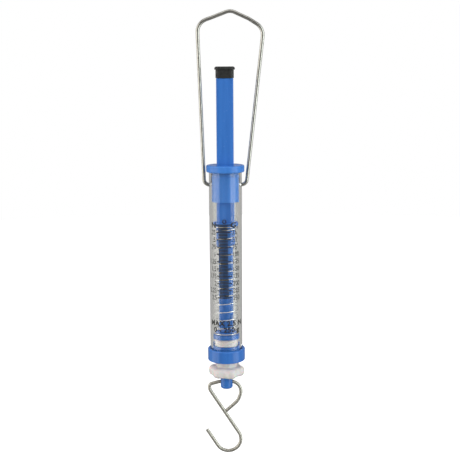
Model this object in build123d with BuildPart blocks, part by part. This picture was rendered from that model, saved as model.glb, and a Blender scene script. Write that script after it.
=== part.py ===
"""Tubular push-pull spring scale that hangs from a wire bail.

The weighing hook and the push pad both drive one plunger down against a compression
spring. The spring stands on a seat that the white thumb screw raises or lowers, which
sets the zero. The piston's rim is the pointer, read against the clear tube.

Sizes are in millimetres. Heights are measured from the top face of the cap, upwards,
and radii from the tube's axis. The frame's origin is where the bail hangs: the inside
of the bail's peak, with +Z up, parallel to the tube, and the bail's wire in the XZ plane.
"""
import os
from math import asin, atan2, cos, radians, sin, sqrt

from build123d import *

# Driving dimensions
TUBE_D = 20.0
TUBE_WALL = 1.65
ROD_SIDE = 10.3
WIRE_D = 2.2
SPRING_WIRE_D = 0.7
FIT_GAP = 0.05
SLIDE_GAP = 0.1
SOFT_EDGE = 0.3
MATCH_TOLERANCE = 0.01

# Cap
FLANGE_D = 23.2
FLANGE_H = 4.2
SPIGOT_H = 18.0
RELIEF_H = 2.8
RELIEF_DEPTH = 0.25
RIM_R = 0.7

# Bail, as (beside, above) its pivot before it leans. Its shoulders are a little uneven
PIVOT_Z = -12.0
BAIL_LEAN = 2.0
BAIL_FOOT_X = 12.8
BAIL_LEFT_SHOULDER = (-19.5, 95.8)
BAIL_RIGHT_SHOULDER = (20.0, 93.8)
BAIL_CROWN_X = 11.1
BAIL_CROWN_H = 99.0
BAIL_PEAK_H = 103.6
BAIL_FOOT_R = 3.4
BAIL_SHOULDER_R = 7.8
BAIL_CROWN_R = 12.0
BAIL_PEAK_R = 6.5
BAIL_END_X = 6.2
BAIL_HOLE_D = 2.4
BAIL_HOLE_END_X = 5.9

# Tube and collar
TUBE_TOP_Z = -FLANGE_H
TUBE_BOTTOM_Z = -119.4
COLLAR_D = 23.2
COLLAR_TOP_Z = -114.4
COLLAR_BOTTOM_Z = -121.9
COLLAR_FOOT_R = 0.5
COLLAR_SPIGOT_TOP_Z = -112.3
CLIP_TOP_Z = -110.9
CLIP_W = 3.0
CLIP_NUB_D = 1.6
CLIP_NUB_Z = -112.9
CLIP_HOLE_D = 1.9

# Plunger
ROD_TOP_Z = 52.0
ROD_EDGE_R = 0.8
ROD_END_CHAMFER = 0.3
ROD_BORE_D = 6.4
ROD_BORE_DEPTH = 80.0
PISTON_D = 15.4
PISTON_TOP_Z = -34.8
PISTON_H = 1.9
BOSS_D = 11.5
BOSS_CHAMFER = 0.5
BOSS_BOTTOM_Z = -50.0
SOCKET_TOP_Z = -38.6
STEM_D = 8.8
STEM_STEP_Z = -128.0
TIP_D = 7.6
TIP_BOTTOM_Z = -140.8
TIP_EDGE_R = 1.3
HOOK_HOLE_Z = -136.7
HOOK_HOLE_D = 2.8

# Push pad
PAD_SIDE = 10.9
PAD_CORNER_R = 2.2
PAD_BODY_H = 5.0
PAD_HEAD_SIDE = 12.2
PAD_HEAD_H = 1.8
PAD_HEAD_CORNER_R = 2.6
PAD_HEAD_EDGE_R = 1.2
PAD_PLUG_H = 12.0
PAD_PLUG_CHAMFER = 0.8

# Spring and its seat
SEAT_D = 16.3
SEAT_TOP_Z = -105.2
SEAT_H = 2.4
SEAT_LIP_D = 13.4
SEAT_LIP_H = 1.2
STEM_HOLE_D = 9.2
SPRING_MEAN_D = 14.7
SPRING_TURNS = 13
SPRING_END_PITCH = 0.75

# Adjuster
THREAD_D = 14.7
THREAD_PITCH = 1.5
THREAD_DEPTH = 0.6
THREAD_ROOT_SHARE = 0.42
THREAD_CREST_SHARE = 0.12
THREAD_OVERLAP = 0.2
THREAD_GAP = 0.15
NECK_D = 13.3
SCREW_TOP_Z = SEAT_TOP_Z - SEAT_H
THREAD_END_Z = -122.6
KNOB_D = 22.6
KNOB_LOBES = 6
KNOB_LOBE_R = 4.0
KNOB_VALLEY_R = 4.5
KNOB_HUB_D = 15.0
KNOB_TOP_EDGE_R = 2.6
KNOB_FOOT_EDGE_R = 2.2
KNOB_TOP_Z = -126.1
KNOB_BOTTOM_Z = -132.3
KNOB_TURN = 19.65
SCREW_BORE_D = 9.6

# Hook, from the centre of the stem's cross hole
EYE_END = (-0.29, -19.24)
EYE_LOW = (7.2, -12.4)
EYE_HIGH = (10.6, -2.6)
EYE_START = (3.8, 0)
HEEL_START = (-4.5, 0)
HEEL_TOP = (-10.85, -1.65)
HEEL_FOOT = (-10.85, -5.0)
HOOK_BEND_R = (9.0, 6.5, 2.1, 3.0, 1.8, 5.0)
BOWL_CENTRE = (0.8, -38.0)
BOWL_R = 7.94
POINT_L = 12.5

# Worked-out dimensions
tube_bore_d = TUBE_D - 2 * TUBE_WALL
spigot_d = tube_bore_d - 2 * FIT_GAP
guide_side = ROD_SIDE + 2 * SLIDE_GAP
spigot_bottom_z = -FLANGE_H - SPIGOT_H
wire_r = WIRE_D / 2
lean = radians(BAIL_LEAN)
peak_slope = atan2(BAIL_PEAK_H - BAIL_CROWN_H, BAIL_CROWN_X)
peak_inside_h = BAIL_PEAK_H - BAIL_PEAK_R * (1 / cos(peak_slope) - 1) - wire_r


def leaned(x, height):
    """A point of the bail, given beside and above its pivot, after the bail's lean."""
    return (x * cos(lean) + height * sin(lean), PIVOT_Z + height * cos(lean) - x * sin(lean))


# The frame: the origin is the inside of the leaned bail's peak
hang_x, hang_z = leaned(0, peak_inside_h)
AXIS_POINT = (-hang_x, 0, -hang_z)
TUBE_AXIS = Axis(AXIS_POINT, (0, 0, 1))


def level(z):
    """The horizontal plane at height z, centred on the tube's axis."""
    return Plane(origin=(AXIS_POINT[0], 0, AXIS_POINT[2] + z))


def upright(z):
    """The XZ plane through the tube's axis, its local origin on the axis at height z."""
    return Plane(origin=(AXIS_POINT[0], 0, AXIS_POINT[2] + z), x_dir=(1, 0, 0), z_dir=(0, -1, 0))


def across(z):
    """The plane through the tube's axis whose normal is +X, centred at height z."""
    return Plane(origin=(AXIS_POINT[0], 0, AXIS_POINT[2] + z), x_dir=(0, 1, 0), z_dir=(1, 0, 0))


def half_profile(*points):
    """A closed outline of (radius, height) points for a turned piece."""
    Polyline(*points, close=True)


def rim_edges(piece, z, radius):
    """The round edges of that radius that lie at height z."""
    height = AXIS_POINT[2] + z
    circles = piece.edges().filter_by(GeomType.CIRCLE)
    at_height = [e for e in circles if abs(e.center().Z - height) < MATCH_TOLERANCE]
    return [e for e in at_height if abs(e.radius - radius) < MATCH_TOLERANCE]


def wire_section(path):
    """The plane square to the start of a wire's path."""
    return Plane(origin=path @ 0, z_dir=path % 0)


def thread_outline(depth, overlap, half_root, half_crest):
    """One tooth of a thread: sunk by overlap in its core, its crest towards local +X."""
    Polyline((-overlap, -half_root), (0, -half_root), (depth, -half_crest),
             (depth, half_crest), (0, half_root), (-overlap, half_root), close=True)


os.makedirs("parts", exist_ok=True)

# The bail: one wire, its two ends turned in along the pivot
with BuildPart() as bail:
    with BuildLine(upright(0)) as bail_path:
        FilletPolyline(
            (-BAIL_END_X, PIVOT_Z), (-BAIL_FOOT_X, PIVOT_Z), leaned(*BAIL_LEFT_SHOULDER),
            leaned(-BAIL_CROWN_X, BAIL_CROWN_H), leaned(0, BAIL_PEAK_H),
            leaned(BAIL_CROWN_X, BAIL_CROWN_H), leaned(*BAIL_RIGHT_SHOULDER),
            (BAIL_FOOT_X, PIVOT_Z), (BAIL_END_X, PIVOT_Z),
            radius=(BAIL_FOOT_R, BAIL_SHOULDER_R, BAIL_CROWN_R, BAIL_PEAK_R,
                    BAIL_CROWN_R, BAIL_SHOULDER_R, BAIL_FOOT_R),
        )
    with BuildSketch(wire_section(bail_path.wire())):
        Circle(wire_r)
    sweep(path=bail_path.wire())
bail.part.label = "bail"
export_step(bail.part, "parts/bail.step")

# The clear tube, with holes for the bail's ends and for the collar's two nubs
with BuildPart() as scale_tube:
    with BuildSketch(level(TUBE_BOTTOM_Z)):
        Circle(TUBE_D / 2)
        Circle(tube_bore_d / 2, mode=Mode.SUBTRACT)
    extrude(amount=TUBE_TOP_Z - TUBE_BOTTOM_Z)
    with BuildSketch(across(PIVOT_Z)):
        Circle(BAIL_HOLE_D / 2)
    extrude(amount=TUBE_D, both=True, mode=Mode.SUBTRACT)
    with BuildSketch(across(CLIP_NUB_Z)):
        Circle(CLIP_HOLE_D / 2)
    extrude(amount=TUBE_D, both=True, mode=Mode.SUBTRACT)
scale_tube.part.label = "scale_tube"
export_step(scale_tube.part, "parts/scale_tube.step")

# The cap: a flange, a spigot in the tube, and the square hole that guides the rod
with BuildPart() as top_cap:
    with BuildSketch(upright(0)):
        with BuildLine():
            half_profile(
                (0, 0), (FLANGE_D / 2, 0), (FLANGE_D / 2, -FLANGE_H),
                (spigot_d / 2 - RELIEF_DEPTH, -FLANGE_H),
                (spigot_d / 2 - RELIEF_DEPTH, -FLANGE_H - RELIEF_H + RELIEF_DEPTH),
                (spigot_d / 2, -FLANGE_H - RELIEF_H), (spigot_d / 2, spigot_bottom_z),
                (0, spigot_bottom_z),
            )
        make_face()
    revolve(axis=TUBE_AXIS)
    fillet(rim_edges(top_cap, 0, FLANGE_D / 2), radius=RIM_R)
    fillet(rim_edges(top_cap, -FLANGE_H, FLANGE_D / 2), radius=RIM_R)
    fillet(rim_edges(top_cap, spigot_bottom_z, spigot_d / 2), radius=RIM_R / 2)
    with BuildSketch(level(0)):
        Rectangle(guide_side, guide_side)
    extrude(amount=spigot_bottom_z, mode=Mode.SUBTRACT)
    for direction in (1, -1):
        with BuildSketch(across(PIVOT_Z).offset(direction * BAIL_HOLE_END_X)):
            Circle(BAIL_HOLE_D / 2)
        extrude(amount=direction * TUBE_D, mode=Mode.SUBTRACT)
top_cap.part.label = "top_cap"
export_step(top_cap.part, "parts/top_cap.step")

# The collar: a cup around the tube's foot, and a threaded spigot inside it
with BuildPart() as bottom_collar:
    with BuildSketch(upright(0)):
        with BuildLine():
            half_profile(
                (0, COLLAR_BOTTOM_Z), (COLLAR_D / 2, COLLAR_BOTTOM_Z), (COLLAR_D / 2, COLLAR_TOP_Z),
                (TUBE_D / 2 + FIT_GAP, COLLAR_TOP_Z), (TUBE_D / 2 + FIT_GAP, TUBE_BOTTOM_Z),
                (spigot_d / 2, TUBE_BOTTOM_Z), (spigot_d / 2, COLLAR_SPIGOT_TOP_Z),
                (0, COLLAR_SPIGOT_TOP_Z),
            )
        make_face()
    revolve(axis=TUBE_AXIS)
    fillet(rim_edges(bottom_collar, COLLAR_BOTTOM_Z, COLLAR_D / 2), radius=COLLAR_FOOT_R)
    fillet(rim_edges(bottom_collar, COLLAR_TOP_Z, COLLAR_D / 2), radius=RIM_R)
    with BuildSketch(level(COLLAR_SPIGOT_TOP_Z)):
        Circle(spigot_d / 2)
        Rectangle(TUBE_D, CLIP_W, mode=Mode.INTERSECT)
    extrude(amount=CLIP_TOP_Z - COLLAR_SPIGOT_TOP_Z)
    with BuildSketch(across(CLIP_NUB_Z)):
        Circle(CLIP_NUB_D / 2)
    extrude(amount=TUBE_D / 2 - 2 * FIT_GAP, both=True)
    with BuildSketch(level(COLLAR_BOTTOM_Z)):
        Circle(THREAD_D / 2 + THREAD_GAP)
    extrude(amount=CLIP_TOP_Z - COLLAR_BOTTOM_Z, mode=Mode.SUBTRACT)
bottom_collar.part.label = "bottom_collar"
export_step(bottom_collar.part, "parts/bottom_collar.step")

# The plunger's upper half: square rod, piston disc and the boss that takes the stem
with BuildPart() as plunger_rod:
    with BuildSketch(level(PISTON_TOP_Z)):
        RectangleRounded(ROD_SIDE, ROD_SIDE, ROD_EDGE_R)
    extrude(amount=ROD_TOP_Z - PISTON_TOP_Z)
    chamfer(plunger_rod.faces().sort_by(Axis.Z)[-1].edges(), length=ROD_END_CHAMFER)
    with BuildSketch(level(PISTON_TOP_Z)):
        Circle(PISTON_D / 2)
    extrude(amount=-PISTON_H)
    fillet(rim_edges(plunger_rod, PISTON_TOP_Z, PISTON_D / 2), radius=SOFT_EDGE)
    with BuildSketch(level(BOSS_BOTTOM_Z)):
        Circle(BOSS_D / 2)
    extrude(amount=PISTON_TOP_Z - PISTON_H - BOSS_BOTTOM_Z)
    chamfer(rim_edges(plunger_rod, BOSS_BOTTOM_Z, BOSS_D / 2), length=BOSS_CHAMFER)
    with BuildSketch(level(BOSS_BOTTOM_Z)):
        Circle(STEM_D / 2)
    extrude(amount=SOCKET_TOP_Z - BOSS_BOTTOM_Z, mode=Mode.SUBTRACT)
    with BuildSketch(level(ROD_TOP_Z)):
        Circle(ROD_BORE_D / 2)
    extrude(amount=-ROD_BORE_DEPTH, mode=Mode.SUBTRACT)
plunger_rod.part.label = "plunger_rod"
export_step(plunger_rod.part, "parts/plunger_rod.step")

# The plunger's lower half: a round stem with the hook's cross hole in its tip
with BuildPart() as hook_stem:
    with BuildSketch(upright(0)):
        with BuildLine():
            half_profile(
                (0, SOCKET_TOP_Z), (STEM_D / 2, SOCKET_TOP_Z), (STEM_D / 2, STEM_STEP_Z),
                (TIP_D / 2, STEM_STEP_Z - (STEM_D - TIP_D) / 2), (TIP_D / 2, TIP_BOTTOM_Z),
                (0, TIP_BOTTOM_Z),
            )
        make_face()
    revolve(axis=TUBE_AXIS)
    fillet(rim_edges(hook_stem, TIP_BOTTOM_Z, TIP_D / 2), radius=TIP_EDGE_R)
    with BuildSketch(across(HOOK_HOLE_Z)):
        Circle(HOOK_HOLE_D / 2)
    extrude(amount=TIP_D, both=True, mode=Mode.SUBTRACT)
hook_stem.part.label = "hook_stem"
export_step(hook_stem.part, "parts/hook_stem.step")

# The rubber push pad: a head, a body that sits on the rod, and a plug in the rod's bore
with BuildPart() as push_pad:
    with BuildSketch(level(ROD_TOP_Z)):
        RectangleRounded(PAD_SIDE, PAD_SIDE, PAD_CORNER_R)
    extrude(amount=PAD_BODY_H)
    with BuildSketch(level(ROD_TOP_Z + PAD_BODY_H)):
        RectangleRounded(PAD_HEAD_SIDE, PAD_HEAD_SIDE, PAD_HEAD_CORNER_R)
    extrude(amount=PAD_HEAD_H)
    fillet(push_pad.faces().sort_by(Axis.Z)[-1].edges(), radius=PAD_HEAD_EDGE_R)
    with BuildSketch(level(ROD_TOP_Z)):
        Circle(ROD_BORE_D / 2)
    extrude(amount=-PAD_PLUG_H)
    chamfer(rim_edges(push_pad, ROD_TOP_Z - PAD_PLUG_H, ROD_BORE_D / 2), length=PAD_PLUG_CHAMFER)
push_pad.part.label = "push_pad"
export_step(push_pad.part, "parts/push_pad.step")

# The spring seat: a washer around the stem, with a lip that centres the spring
with BuildPart() as spring_seat:
    with BuildSketch(upright(0)):
        with BuildLine():
            half_profile(
                (STEM_HOLE_D / 2, SEAT_TOP_Z - SEAT_H), (SEAT_D / 2, SEAT_TOP_Z - SEAT_H),
                (SEAT_D / 2, SEAT_TOP_Z), (SEAT_LIP_D / 2, SEAT_TOP_Z),
                (SEAT_LIP_D / 2 - SOFT_EDGE, SEAT_TOP_Z + SEAT_LIP_H),
                (STEM_HOLE_D / 2, SEAT_TOP_Z + SEAT_LIP_H),
            )
        make_face()
    revolve(axis=TUBE_AXIS)
    fillet(rim_edges(spring_seat, SEAT_TOP_Z, SEAT_D / 2), radius=SOFT_EDGE)
spring_seat.part.label = "spring_seat"
export_step(spring_seat.part, "parts/spring_seat.step")

# The spring: open turns between two closed end turns
spring_top_z = PISTON_TOP_Z - PISTON_H - SPRING_WIRE_D / 2
spring_foot_z = SEAT_TOP_Z + SPRING_WIRE_D / 2
open_height = spring_top_z - spring_foot_z - 2 * SPRING_END_PITCH
spring_runs = (
    (SPRING_END_PITCH, SPRING_END_PITCH, spring_foot_z),
    (open_height / SPRING_TURNS, open_height, spring_foot_z + SPRING_END_PITCH),
    (SPRING_END_PITCH, SPRING_END_PITCH, spring_top_z - SPRING_END_PITCH),
)
with BuildPart() as spring:
    with BuildLine() as coil:
        for pitch, height, start_z in spring_runs:
            Helix(pitch, height, SPRING_MEAN_D / 2, center=level(start_z).origin)
    with BuildSketch(wire_section(coil.wire())):
        Circle(SPRING_WIRE_D / 2)
    sweep(path=coil.wire(), is_frenet=True, transition=Transition.TRANSFORMED)
spring.part.label = "spring"
export_step(spring.part, "parts/spring.step")

# The thumb screw: a threaded hollow stem on a knob of rounded lobes
with BuildPart() as adjuster_screw:
    with BuildSketch(level(KNOB_BOTTOM_Z)) as knob_outline:
        Circle(KNOB_HUB_D / 2)
        with PolarLocations(KNOB_D / 2 - KNOB_LOBE_R, KNOB_LOBES, start_angle=KNOB_TURN - 90):
            Circle(KNOB_LOBE_R)
        fillet(knob_outline.vertices(), radius=KNOB_VALLEY_R)
    extrude(amount=KNOB_TOP_Z - KNOB_BOTTOM_Z)
    fillet(adjuster_screw.faces().sort_by(Axis.Z)[0].edges(), radius=KNOB_FOOT_EDGE_R)
    fillet(adjuster_screw.faces().sort_by(Axis.Z)[-1].edges(), radius=KNOB_TOP_EDGE_R)
    with BuildSketch(level(KNOB_TOP_Z)):
        Circle(NECK_D / 2)
    extrude(amount=SCREW_TOP_Z - KNOB_TOP_Z)
    with BuildLine() as thread_path:
        Helix(THREAD_PITCH, SCREW_TOP_Z - THREAD_END_Z - THREAD_PITCH, THREAD_D / 2 - THREAD_DEPTH,
              center=level(THREAD_END_Z + THREAD_PITCH / 2).origin)
    tooth_plane = Plane(origin=thread_path.line @ 0, x_dir=(1, 0, 0), z_dir=thread_path.line % 0)
    with BuildSketch(tooth_plane):
        with BuildLine():
            thread_outline(THREAD_DEPTH, THREAD_OVERLAP, THREAD_PITCH * THREAD_ROOT_SHARE,
                           THREAD_PITCH * THREAD_CREST_SHARE)
        make_face()
    sweep(path=thread_path.line, is_frenet=True)
    with BuildSketch(level(KNOB_BOTTOM_Z)):
        Circle(SCREW_BORE_D / 2)
    extrude(amount=SCREW_TOP_Z - KNOB_BOTTOM_Z, mode=Mode.SUBTRACT)
adjuster_screw.part.label = "adjuster_screw"
export_step(adjuster_screw.part, "parts/adjuster_screw.step")

# The hook: an eye through the stem, a straight shank, and a bowl that ends in a point
heel_x, heel_z = HEEL_FOOT
bowl_x, bowl_z = BOWL_CENTRE
heel_to_bowl = sqrt((bowl_x - heel_x) ** 2 + (bowl_z - heel_z) ** 2)
shank_angle = atan2(bowl_z - heel_z, bowl_x - heel_x) + asin(BOWL_R / heel_to_bowl)
shank_x, shank_z = cos(shank_angle), sin(shank_angle)
bowl_start = (bowl_x - BOWL_R * shank_z, bowl_z + BOWL_R * shank_x)
bowl_lowest = (bowl_x + BOWL_R * shank_x, bowl_z + BOWL_R * shank_z)
bowl_end = (bowl_x + BOWL_R * shank_z, bowl_z - BOWL_R * shank_x)
point_end = (bowl_end[0] - POINT_L * shank_x, bowl_end[1] - POINT_L * shank_z)
with BuildPart() as hook:
    with BuildLine(upright(HOOK_HOLE_Z)) as hook_path:
        FilletPolyline(
            EYE_END, EYE_LOW, EYE_HIGH, EYE_START, HEEL_START, HEEL_TOP, HEEL_FOOT, bowl_start,
            radius=HOOK_BEND_R,
        )
        ThreePointArc(bowl_start, bowl_lowest, bowl_end)
        Line(bowl_end, point_end)
    with BuildSketch(wire_section(hook_path.wire())):
        Circle(wire_r)
    sweep(path=hook_path.wire())
hook.part.label = "hook"
export_step(hook.part, "parts/hook.step")
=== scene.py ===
"""Looks of the tubular push-pull spring scale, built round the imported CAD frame.

Lengths named _MM are millimetres; everything handed to Blender is in metres. The tube
stands along Z, so most places are a height below the cap's top face and a distance
from the tube's axis, both of which come from the frame's boxes.
"""
import math

import bmesh
import bpy
from mathutils import Matrix, Vector


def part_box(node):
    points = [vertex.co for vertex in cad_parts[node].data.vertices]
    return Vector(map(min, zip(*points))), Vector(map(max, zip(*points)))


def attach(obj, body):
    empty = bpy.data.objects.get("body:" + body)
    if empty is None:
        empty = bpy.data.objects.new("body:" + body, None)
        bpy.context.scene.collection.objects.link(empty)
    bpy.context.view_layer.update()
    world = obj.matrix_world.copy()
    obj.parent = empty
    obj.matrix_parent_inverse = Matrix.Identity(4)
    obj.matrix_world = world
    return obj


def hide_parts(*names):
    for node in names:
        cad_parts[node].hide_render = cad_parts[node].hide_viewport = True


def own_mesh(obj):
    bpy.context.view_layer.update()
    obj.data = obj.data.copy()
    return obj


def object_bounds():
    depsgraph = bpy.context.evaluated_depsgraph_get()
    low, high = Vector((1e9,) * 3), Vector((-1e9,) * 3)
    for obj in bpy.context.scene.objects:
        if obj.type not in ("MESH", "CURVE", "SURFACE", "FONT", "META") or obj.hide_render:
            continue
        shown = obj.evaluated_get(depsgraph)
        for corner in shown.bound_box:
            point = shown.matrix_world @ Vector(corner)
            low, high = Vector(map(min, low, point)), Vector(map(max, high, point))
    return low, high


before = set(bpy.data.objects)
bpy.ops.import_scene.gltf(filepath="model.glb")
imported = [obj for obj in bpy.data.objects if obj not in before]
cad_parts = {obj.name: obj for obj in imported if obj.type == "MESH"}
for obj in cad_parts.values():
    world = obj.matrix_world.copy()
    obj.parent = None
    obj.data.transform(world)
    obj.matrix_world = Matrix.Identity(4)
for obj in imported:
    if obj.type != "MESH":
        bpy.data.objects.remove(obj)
cad_low, cad_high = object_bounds()

MM = 0.001

# ---------------------------------------------------------------- places from the frame
tube_low, tube_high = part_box("scale_tube")
cap_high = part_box("top_cap")[1]
spring_low, spring_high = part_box("spring")

AXIS_X = (tube_low.x + tube_high.x) / 2
TUBE_R = (tube_high.x - tube_low.x) / 2
TOP_Z = cap_high.z


def below_cap(millimetres, beside=0.0, front=0.0):
    """A point that far below the cap's top face, beside the tube's axis and in front of it."""
    return Vector((AXIS_X + beside * MM, -front * MM, TOP_Z - millimetres * MM))


# ---------------------------------------------------------------- material helpers
# Noise mostly lies near 0.5, so tones and spreads use the middle of its range
TONES_FROM, TONES_TO = 0.35, 0.65
SPREAD_FROM, SPREAD_TO = 0.3, 0.7


def new_material(name, **values):
    """A material with one Principled shader, its sockets set from the keyword values."""
    material = bpy.data.materials.new(name)
    material.use_nodes = True
    shader = material.node_tree.nodes["Principled BSDF"]
    for socket, value in values.items():
        shader.inputs[socket.replace("_", " ")].default_value = value
    return material, material.node_tree, shader


def object_noise(tree, cells_per_metre, detail=3.0, stretch=(1, 1, 1)):
    """Noise in the object's own space. A stretch under 1 draws it out along that axis."""
    coords = tree.nodes.new("ShaderNodeTexCoord")
    mapping = tree.nodes.new("ShaderNodeMapping")
    mapping.inputs["Scale"].default_value = stretch
    noise = tree.nodes.new("ShaderNodeTexNoise")
    noise.inputs["Scale"].default_value = cells_per_metre
    noise.inputs["Detail"].default_value = detail
    tree.links.new(coords.outputs["Object"], mapping.inputs["Vector"])
    tree.links.new(mapping.outputs["Vector"], noise.inputs["Vector"])
    return noise.outputs["Fac"]


def two_tones(tree, factor, dark, light):
    """A colour that runs from dark to light over the middle of the factor's range."""
    ramp = tree.nodes.new("ShaderNodeValToRGB")
    ramp.color_ramp.elements[0].position = TONES_FROM
    ramp.color_ramp.elements[1].position = TONES_TO
    ramp.color_ramp.elements[0].color = (*dark, 1)
    ramp.color_ramp.elements[1].color = (*light, 1)
    tree.links.new(factor, ramp.inputs["Fac"])
    return ramp.outputs["Color"]


def spread(tree, factor, low, high):
    """A number that runs from low to high over the middle of the factor's range."""
    node = tree.nodes.new("ShaderNodeMapRange")
    node.inputs["From Min"].default_value = SPREAD_FROM
    node.inputs["From Max"].default_value = SPREAD_TO
    node.inputs["To Min"].default_value = low
    node.inputs["To Max"].default_value = high
    tree.links.new(factor, node.inputs["Value"])
    return node.outputs["Result"]


def bumped(tree, shader, height, strength, distance_mm):
    """Gives the shader a bumped normal."""
    bump = tree.nodes.new("ShaderNodeBump")
    bump.inputs["Strength"].default_value = strength
    bump.inputs["Distance"].default_value = distance_mm * MM
    tree.links.new(height, bump.inputs["Height"])
    tree.links.new(bump.outputs["Normal"], shader.inputs["Normal"])


# ---------------------------------------------------------------- materials
def finish_surface(tree, shader, tone, gloss_noise, roughness, relief, strength, depth_mm):
    """Links a colour, an uneven roughness and a fine relief to the shader."""
    tree.links.new(tone, shader.inputs["Base Color"])
    tree.links.new(spread(tree, gloss_noise, *roughness), shader.inputs["Roughness"])
    bumped(tree, shader, relief, strength, depth_mm)


def blue_plastic(name, dark, light):
    """Moulded plastic with faint flow lines down the part."""
    material, tree, shader = new_material(name, IOR=1.38)
    flow_lines = object_noise(tree, cells_per_metre=420, stretch=(1, 1, 0.05))
    finish_surface(
        tree, shader, two_tones(tree, flow_lines, dark, light),
        gloss_noise=object_noise(tree, cells_per_metre=900), roughness=(0.18, 0.28),
        relief=object_noise(tree, cells_per_metre=2600, detail=2), strength=0.07, depth_mm=0.05,
    )
    return material


def white_plastic():
    """Slightly milky moulded plastic."""
    material, tree, shader = new_material(
        "white_plastic", IOR=1.5, Subsurface_Weight=0.25, Subsurface_Scale=0.002,
    )
    clouds = object_noise(tree, cells_per_metre=150)
    finish_surface(
        tree, shader, two_tones(tree, clouds, (0.72, 0.665, 0.645), (0.80, 0.745, 0.725)),
        gloss_noise=object_noise(tree, cells_per_metre=700), roughness=(0.3, 0.44),
        relief=object_noise(tree, cells_per_metre=2200, detail=2), strength=0.12, depth_mm=0.05,
    )
    return material


def clear_plastic():
    """Clear extruded tube: drawn-out streaks and a little waviness."""
    material, tree, shader = new_material(
        "clear_plastic", IOR=1.49, Transmission_Weight=1.0, Specular_Tint=(0.5, 0.5, 0.5, 1),
    )
    clouds = object_noise(tree, cells_per_metre=60)
    finish_surface(
        tree, shader, two_tones(tree, clouds, (0.955, 0.96, 0.95), (0.975, 0.975, 0.97)),
        gloss_noise=object_noise(tree, cells_per_metre=500, stretch=(1, 1, 0.08)),
        roughness=(0.015, 0.06),
        relief=object_noise(tree, cells_per_metre=160, detail=2, stretch=(1, 1, 0.15)),
        strength=0.2, depth_mm=0.06,
    )
    return material


def black_rubber():
    """Matt rubber with a fine grain."""
    material, tree, shader = new_material("black_rubber", IOR=1.48)
    clouds = object_noise(tree, cells_per_metre=700)
    finish_surface(
        tree, shader, two_tones(tree, clouds, (0.011, 0.011, 0.0105), (0.02, 0.02, 0.019)),
        gloss_noise=object_noise(tree, cells_per_metre=1500), roughness=(0.5, 0.7),
        relief=object_noise(tree, cells_per_metre=3500, detail=4), strength=0.35, depth_mm=0.08,
    )
    return material


def bright_wire(name, dark, light, roughness):
    """Drawn steel wire: fine die marks and a slight unevenness in its polish."""
    material, tree, shader = new_material(name, Metallic=1.0)
    finish_surface(
        tree, shader, two_tones(tree, object_noise(tree, cells_per_metre=500), dark, light),
        gloss_noise=object_noise(tree, cells_per_metre=2500), roughness=roughness,
        relief=object_noise(tree, cells_per_metre=4000), strength=0.12, depth_mm=0.03,
    )
    return material


def printing_ink():
    """Black ink, a little uneven in its tone and gloss."""
    material, tree, shader = new_material("printing_ink", IOR=1.45)
    blotches = object_noise(tree, cells_per_metre=2500)
    tone = two_tones(tree, blotches, (0.012, 0.014, 0.011), (0.03, 0.032, 0.026))
    tree.links.new(tone, shader.inputs["Base Color"])
    gloss = spread(tree, object_noise(tree, cells_per_metre=3000), 0.5, 0.65)
    tree.links.new(gloss, shader.inputs["Roughness"])
    return material


BLUE = blue_plastic("blue_plastic", dark=(0.038, 0.157, 0.51), light=(0.048, 0.186, 0.575))
# The cap's plastic is a lighter copy of the blue plastic: painted light, standing in for the
# light that falls on the cap's flange.
CAP_BLUE_PAINTED_LIGHT = blue_plastic("cap_blue_painted_light", dark=(0.052, 0.205, 0.62), light=(0.064, 0.238, 0.69))
WHITE = white_plastic()
CLEAR = clear_plastic()
RUBBER = black_rubber()
BAIL_WIRE = bright_wire("bail_wire", dark=(0.47, 0.455, 0.41), light=(0.57, 0.555, 0.51),
                        roughness=(0.28, 0.38))
HOOK_WIRE = bright_wire("hook_wire", dark=(0.50, 0.48, 0.42), light=(0.60, 0.575, 0.51),
                        roughness=(0.46, 0.58))
SPRING_STEEL = bright_wire("spring_steel", dark=(0.6, 0.6, 0.61), light=(0.7, 0.7, 0.71),
                           roughness=(0.2, 0.3))
INK = printing_ink()

NODE_MATERIALS = {
    "bail": BAIL_WIRE,
    "hook": HOOK_WIRE,
    "scale_tube": CLEAR,
    "top_cap": CAP_BLUE_PAINTED_LIGHT,
    "bottom_collar": BLUE,
    "plunger_rod": BLUE,
    "hook_stem": BLUE,
    "spring_seat": BLUE,
    "adjuster_screw": WHITE,
    "push_pad": RUBBER,
}


def paint(piece, material):
    piece.data.materials.clear()
    piece.data.materials.append(material)


for node_name, node_material in NODE_MATERIALS.items():
    paint(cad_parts[node_name], node_material)


# ---------------------------------------------------------------- mesh helpers
def piece_from_bmesh(name, mesh_builder, material):
    """A new object with that mesh, in the row frame."""
    mesh = bpy.data.meshes.new(name)
    mesh_builder.to_mesh(mesh)
    mesh_builder.free()
    piece = bpy.data.objects.new(name, mesh)
    bpy.context.scene.collection.objects.link(piece)
    paint(piece, material)
    return piece


# ---------------------------------------------------------------- the spring
SPRING_WIRE_R_MM = 0.35
OPEN_TURNS = 13
CLOSED_TURNS = 2
END_PITCH_MM = 0.75
STEPS_PER_TURN = 56
WIRE_SIDES = 12


def coil_height(turn, total_height):
    """Height of the wire's centre after that many turns: open turns between closed ends."""
    end_pitch = END_PITCH_MM * MM
    open_pitch = (total_height - 2 * end_pitch) / OPEN_TURNS
    if turn < 1:
        return turn * end_pitch
    if turn < 1 + OPEN_TURNS:
        return end_pitch + (turn - 1) * open_pitch
    return total_height - (OPEN_TURNS + CLOSED_TURNS - turn) * end_pitch


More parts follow.
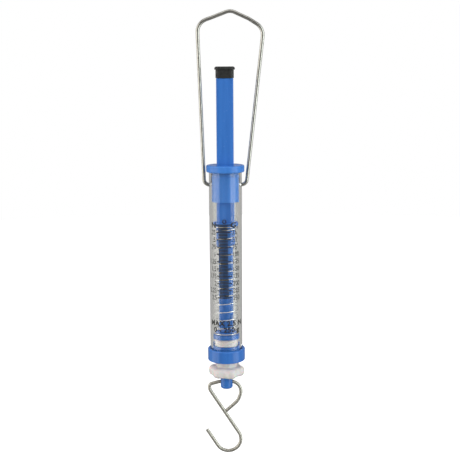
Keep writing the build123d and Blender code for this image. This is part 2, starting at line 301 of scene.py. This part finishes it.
def steel_spring():
    """The spring's wire, laid round the stem from the seat up to the piston."""
    wire_r = SPRING_WIRE_R_MM * MM
    coil_r = (spring_high.x - spring_low.x) / 2 - wire_r
    foot = spring_low.z + wire_r
    total_height = spring_high.z - spring_low.z - 2 * wire_r
    turns = OPEN_TURNS + CLOSED_TURNS
    steps = turns * STEPS_PER_TURN
    builder = bmesh.new()
    rings = []
    for step in range(steps + 1):
        turn = turns * step / steps
        angle = 2 * math.pi * turn
        outward = Vector((math.cos(angle), math.sin(angle), 0))
        centre = Vector((AXIS_X, 0, foot + coil_height(turn, total_height))) + outward * coil_r
        ring = []
        for side in range(WIRE_SIDES):
            round_wire = 2 * math.pi * side / WIRE_SIDES
            offset = outward * math.cos(round_wire) + Vector((0, 0, math.sin(round_wire)))
            ring.append(builder.verts.new(centre + offset * wire_r))
        rings.append(ring)
    for ring, following in zip(rings, rings[1:]):
        for side in range(WIRE_SIDES):
            after = (side + 1) % WIRE_SIDES
            builder.faces.new((ring[side], following[side], following[after], ring[after]))
    builder.faces.new(rings[0])
    builder.faces.new(rings[-1])
    bmesh.ops.recalc_face_normals(builder, faces=builder.faces)
    for face in builder.faces:
        face.smooth = len(face.verts) == 4
    return piece_from_bmesh("steel_spring", builder, SPRING_STEEL)


spring = steel_spring()
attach(spring, "seat")
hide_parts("spring")
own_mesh(spring)


# ---------------------------------------------------------------- the printed scale
# The print is laid out flat, in millimetres: across the tube's front, and down from the
# zero line, which is level with the piston's rim. Then it is wrapped on the tube.
ZERO_BELOW_CAP_MM = 35.45
SCALE_LENGTH_MM = 45.0
DIVISIONS = 50
DIVISIONS_PER_NUMBER = 5
NEWTONS_PER_NUMBER = 0.25
GRAMS_PER_NUMBER = 25
PRINT_TURN = math.radians(-8.5)
PRINT_SKEW = math.radians(-0.8)
LINE_MM = 0.63
TICK_FROM_MM, TICK_TO_MM = -3.2, 2.6
LONG_TICK_MM = 4.6
ZERO_LINE_MM = 4.6
NUMBER_MM = 3.0
NUMBER_WIDTH = 0.82
NUMBER_WEIGHT = 0.03
LEFT_NUMBERS_MM = -5.1
RIGHT_NUMBERS_MM = 5.3
UNIT_MM = 3.2
UNIT_WIDTH = 1.15
UNIT_WEIGHT = 0.16
UNIT_PLACES_MM = (-4.7, 4.5)
ZERO_MARK_PLACE_MM = (0.7, -2.2)
ZERO_MARK_MM = 2.7
ZERO_MARK_WIDTH = 1.5
ZERO_MARK_WEIGHT = 0.08
CAPTION_MM = 3.1
CAPTION_ACROSS_MM = 0.8
CAPTION_WIDTH = 1.04
CAPTION_WEIGHT = 0.16
CAPTION_SPACING = 1.08
CAPTION_LINES = (("MAX 2.5 N", 61.0), ("0 - 250 g", 65.1))
CAP_SHARE = 0.73
INK_FOOT_MM = 0.012
INK_TOP_MM = 0.035
GLYPH_CURVE_STEPS = 4
WRAP_STEP_MM = 0.35
SAME_POINT_MM = 1e-4
ON_CUT_MM = 1e-5
SHORT_EDGE_MM = 0.001


def wrapped(point):
    """The place on the tube of a point of the flat print: across, down, and off the surface."""
    across = point.x * math.cos(PRINT_SKEW) - point.y * math.sin(PRINT_SKEW)
    down = point.y * math.cos(PRINT_SKEW) + point.x * math.sin(PRINT_SKEW)
    radius = TUBE_R + point.z * MM
    angle = PRINT_TURN + across * MM / TUBE_R
    return Vector((
        AXIS_X + radius * math.sin(angle),
        -radius * math.cos(angle),
        TOP_Z - (ZERO_BELOW_CAP_MM + down) * MM,
    ))


def add_bar(builder, left, right, down, thickness):
    """A printed line across the tube."""
    corners = [(left, down - thickness / 2), (right, down - thickness / 2),
               (right, down + thickness / 2), (left, down + thickness / 2)]
    lower = [builder.verts.new((x, y, INK_FOOT_MM)) for x, y in corners]
    upper = [builder.verts.new((x, y, INK_TOP_MM)) for x, y in corners]
    builder.faces.new(lower)
    builder.faces.new(upper)
    for i in range(4):
        after = (i + 1) % 4
        builder.faces.new((lower[i], lower[after], upper[after], upper[i]))


def add_text(builder, text, across, down, height, align, width=1.0, weight=0.0, spacing=1.0):
    """Printed characters of that height, their middle at that place down the print."""
    curve = bpy.data.curves.new("print_" + text, "FONT")
    curve.body = text
    curve.align_x = align
    curve.size = height / CAP_SHARE
    curve.space_character = spacing
    curve.offset = weight
    curve.extrude = (INK_TOP_MM - INK_FOOT_MM) / 2
    curve.resolution_u = GLYPH_CURVE_STEPS
    holder = bpy.data.objects.new("print_" + text, curve)
    bpy.context.scene.collection.objects.link(holder)
    bpy.context.view_layer.update()
    mesh = bpy.data.meshes.new_from_object(
        holder.evaluated_get(bpy.context.evaluated_depsgraph_get()))
    place = Matrix.Translation((across, down + height / 2, (INK_TOP_MM + INK_FOOT_MM) / 2))
    mesh.transform(place @ Matrix.Diagonal((width, -1, 1, 1)))
    builder.from_mesh(mesh)
    bpy.data.objects.remove(holder)
    bpy.data.curves.remove(curve)
    bpy.data.meshes.remove(mesh)


def wrapped_print(name, builder):
    """Cuts the flat print finely enough to bend, and wraps it on the tube."""
    bmesh.ops.remove_doubles(builder, verts=builder.verts, dist=SAME_POINT_MM)
    xs = [v.co.x for v in builder.verts]
    cut = math.floor(min(xs) / WRAP_STEP_MM) * WRAP_STEP_MM
    while cut < max(xs):
        everything = list(builder.verts) + list(builder.edges) + list(builder.faces)
        bmesh.ops.bisect_plane(builder, geom=everything, dist=ON_CUT_MM,
                               plane_co=(cut, 0, 0), plane_no=(1, 0, 0))
        cut += WRAP_STEP_MM
    bmesh.ops.dissolve_degenerate(builder, dist=SHORT_EDGE_MM, edges=builder.edges)
    for vertex in builder.verts:
        vertex.co = wrapped(vertex.co)
    bmesh.ops.recalc_face_normals(builder, faces=builder.faces)
    piece = piece_from_bmesh(name, builder, INK)
    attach(piece, "barrel")


def number_text(value):
    """The number as printed: no zero before the point, and none at the end."""
    return f"{value:.2f}".rstrip("0").rstrip(".").lstrip("0")


scale_lines = bmesh.new()
add_bar(scale_lines, -ZERO_LINE_MM, ZERO_LINE_MM, 0, LINE_MM)
for division in range(1, DIVISIONS + 1):
    is_long = division % DIVISIONS_PER_NUMBER == 0
    line_left = -LONG_TICK_MM if is_long else TICK_FROM_MM
    line_right = LONG_TICK_MM if is_long else TICK_TO_MM
    add_bar(scale_lines, line_left, line_right, division * SCALE_LENGTH_MM / DIVISIONS, LINE_MM)
wrapped_print("scale_lines", scale_lines)

newton_numbers = bmesh.new()
gram_numbers = bmesh.new()
for index in range(1, DIVISIONS // DIVISIONS_PER_NUMBER + 1):
    number_down = index * DIVISIONS_PER_NUMBER * SCALE_LENGTH_MM / DIVISIONS
    add_text(newton_numbers, number_text(index * NEWTONS_PER_NUMBER), LEFT_NUMBERS_MM,
             number_down, NUMBER_MM, "RIGHT", NUMBER_WIDTH, NUMBER_WEIGHT)
    add_text(gram_numbers, str(index * GRAMS_PER_NUMBER), RIGHT_NUMBERS_MM,
             number_down, NUMBER_MM, "LEFT", NUMBER_WIDTH, NUMBER_WEIGHT)
add_text(newton_numbers, "N", UNIT_PLACES_MM[0], 0, UNIT_MM, "RIGHT", UNIT_WIDTH, UNIT_WEIGHT)
add_text(gram_numbers, "G", UNIT_PLACES_MM[1], 0, UNIT_MM, "LEFT", UNIT_WIDTH, UNIT_WEIGHT)
wrapped_print("newton_numbers", newton_numbers)
wrapped_print("gram_numbers", gram_numbers)

zero_mark = bmesh.new()
add_text(zero_mark, "0", *ZERO_MARK_PLACE_MM, ZERO_MARK_MM, "CENTER",
         ZERO_MARK_WIDTH, ZERO_MARK_WEIGHT)
wrapped_print("zero_mark", zero_mark)

caption = bmesh.new()
for line, line_down in CAPTION_LINES:
    add_text(caption, line, CAPTION_ACROSS_MM, line_down, CAPTION_MM, "CENTER",
             CAPTION_WIDTH, CAPTION_WEIGHT, CAPTION_SPACING)
wrapped_print("capacity_caption", caption)


# ---------------------------------------------------------------- floor, light and camera
CAMERA_PLACE = below_cap(-54.7, beside=0.2, front=567.2)
CAMERA_TARGET = below_cap(40.0, beside=2.65)
CAMERA_ROLL = math.radians(0.35)
LENS_MM = 73.39
SENSOR_MM = 36.0
FLOOR_DROP = 0.75
FLOOR_SIZE = 12.0
FLOOR_SEGMENTS = 96
FLOOR_GLOW = 1.0
BACKDROP_SEEN = 1.0
BACKDROP_THROUGH = 0.44
BACKDROP_THROUGH_COLOUR = (1.0, 0.995, 0.965, 1)
TENT_SIDE = 0.45
TENT_FRONT = 0.2
TENT_FRONT_Y = -0.8
TENT_SIDE_Y = -0.4
HALF_A_BOUNCE = 0.5
CLIP_NEAR, CLIP_FAR = 0.01, 50.0
LIT_POINT = below_cap(30)
LIGHT_DISTANCE = 0.9
NEUTRAL = (1, 1, 1)
COOL = (0.92, 1.0, 0.99)
WARM = (1.0, 0.98, 0.93)


def studio_floor():
    """A wide white floor, far below the hanging object. Only the camera sees it."""
    builder = bmesh.new()
    bmesh.ops.create_circle(builder, cap_ends=True, segments=FLOOR_SEGMENTS,
                            radius=FLOOR_SIZE / 2)
    bmesh.ops.translate(builder, verts=builder.verts,
                        vec=(AXIS_X, 0, cad_low.z - FLOOR_DROP))
    material, tree, shader = new_material(
        "studio_white", Roughness=0.9, Emission_Color=(1, 1, 1, 1), Emission_Strength=FLOOR_GLOW,
    )
    clouds = object_noise(tree, cells_per_metre=2)
    tone = two_tones(tree, clouds, (0.93, 0.93, 0.93), (0.95, 0.95, 0.95))
    tree.links.new(tone, shader.inputs["Base Color"])
    floor = piece_from_bmesh("studio_floor", builder, material)
    floor.visible_diffuse = False
    floor.visible_glossy = False
    floor.visible_transmission = False
    floor.visible_shadow = False


def softbox(name, azimuth, rise, width, height, radiance,
            tint=NEUTRAL, mirrored=True, refracted=True):
    """A rectangular light facing the object. Azimuth 0 is the camera's side, 90 the right.

    Surfaces show its reflection if mirrored, and clear plastic shows it if refracted.
    """
    data = bpy.data.lights.new(name, "AREA")
    data.shape = "RECTANGLE"
    data.size = width
    data.size_y = height
    data.energy = radiance * math.pi * width * height
    data.color = tint
    light = bpy.data.objects.new(name, data)
    bpy.context.scene.collection.objects.link(light)
    turn, tip = math.radians(azimuth), math.radians(rise)
    level_reach = math.cos(tip)
    outward = Vector((math.sin(turn) * level_reach, -math.cos(turn) * level_reach, math.sin(tip)))
    light.location = LIT_POINT + outward * LIGHT_DISTANCE
    light.rotation_euler = (-outward).to_track_quat("-Z", "Y").to_euler()
    light.visible_camera = False
    light.visible_glossy = mirrored
    light.visible_transmission = refracted


def studio_world():
    """A white backdrop, in a tent that is bright at the sides and darker round the camera.

    The camera sees white. Straight through clear plastic it sees BACKDROP_THROUGH, and
    light and reflections come from the tent.
    """
    world = bpy.data.worlds.new("studio")
    bpy.context.scene.world = world
    world.use_nodes = True
    tree = world.node_tree
    tree.nodes.clear()
    coords = tree.nodes.new("ShaderNodeTexCoord")
    parts = tree.nodes.new("ShaderNodeSeparateXYZ")
    tent = tree.nodes.new("ShaderNodeMapRange")
    tent.interpolation_type = "SMOOTHSTEP"
    tent.inputs["From Min"].default_value = TENT_FRONT_Y
    tent.inputs["From Max"].default_value = TENT_SIDE_Y
    tent.inputs["To Min"].default_value = TENT_FRONT
    tent.inputs["To Max"].default_value = TENT_SIDE
    around = tree.nodes.new("ShaderNodeBackground")
    through = tree.nodes.new("ShaderNodeBackground")
    through.inputs["Strength"].default_value = BACKDROP_THROUGH
    through.inputs["Color"].default_value = BACKDROP_THROUGH_COLOUR
    backdrop = tree.nodes.new("ShaderNodeBackground")
    backdrop.inputs["Strength"].default_value = BACKDROP_SEEN
    backdrop.inputs["Color"].default_value = (1, 1, 1, 1)
    rays = tree.nodes.new("ShaderNodeLightPath")
    straight = tree.nodes.new("ShaderNodeMath")
    straight.operation = "LESS_THAN"
    straight.inputs[1].default_value = HALF_A_BOUNCE
    clear_view = tree.nodes.new("ShaderNodeMath")
    clear_view.operation = "MULTIPLY"
    behind = tree.nodes.new("ShaderNodeMixShader")
    seen = tree.nodes.new("ShaderNodeMixShader")
    output = tree.nodes.new("ShaderNodeOutputWorld")
    tree.links.new(coords.outputs["Generated"], parts.inputs["Vector"])
    tree.links.new(parts.outputs["Y"], tent.inputs["Value"])
    tree.links.new(tent.outputs["Result"], around.inputs["Strength"])
    tree.links.new(rays.outputs["Diffuse Depth"], straight.inputs[0])
    tree.links.new(straight.outputs["Value"], clear_view.inputs[0])
    tree.links.new(rays.outputs["Is Transmission Ray"], clear_view.inputs[1])
    tree.links.new(clear_view.outputs["Value"], behind.inputs["Fac"])
    tree.links.new(around.outputs["Background"], behind.inputs[1])
    tree.links.new(through.outputs["Background"], behind.inputs[2])
    tree.links.new(rays.outputs["Is Camera Ray"], seen.inputs["Fac"])
    tree.links.new(behind.outputs["Shader"], seen.inputs[1])
    tree.links.new(backdrop.outputs["Background"], seen.inputs[2])
    tree.links.new(seen.outputs["Shader"], output.inputs["Surface"])


def studio_camera():
    """The camera, level but for a slight roll, looking down a little at the object."""
    data = bpy.data.cameras.new("camera")
    data.lens = LENS_MM
    data.sensor_width = SENSOR_MM
    data.clip_start = CLIP_NEAR
    data.clip_end = CLIP_FAR
    camera = bpy.data.objects.new("camera", data)
    bpy.context.scene.collection.objects.link(camera)
    aim = (CAMERA_TARGET - CAMERA_PLACE).to_track_quat("-Z", "Y").to_matrix().to_4x4()
    camera.matrix_world = (Matrix.Translation(CAMERA_PLACE) @ aim
                           @ Matrix.Rotation(-CAMERA_ROLL, 4, "Z"))
    bpy.context.scene.camera = camera


# The clear tube casts no shadow, so the lights reach what is inside it
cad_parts["scale_tube"].visible_shadow = False
studio_floor()
studio_world()
softbox("softbox_right", azimuth=60, rise=5, width=0.68, height=1.2, radiance=2.7, tint=COOL)
softbox("softbox_left", azimuth=-73, rise=5, width=0.92, height=1.2, radiance=1.95, tint=WARM)
softbox("softbox_top", azimuth=0, rise=75, width=0.8, height=0.6, radiance=1.3)
softbox("front_fill", azimuth=0, rise=30, width=0.9, height=0.5, radiance=1.3, mirrored=False)
softbox("back_fill", azimuth=180, rise=20, width=0.9, height=0.9, radiance=1.3,
        mirrored=False, refracted=False)
studio_camera()

scene = bpy.context.scene
scene.view_settings.view_transform = "Standard"
scene.view_settings.look = "None"
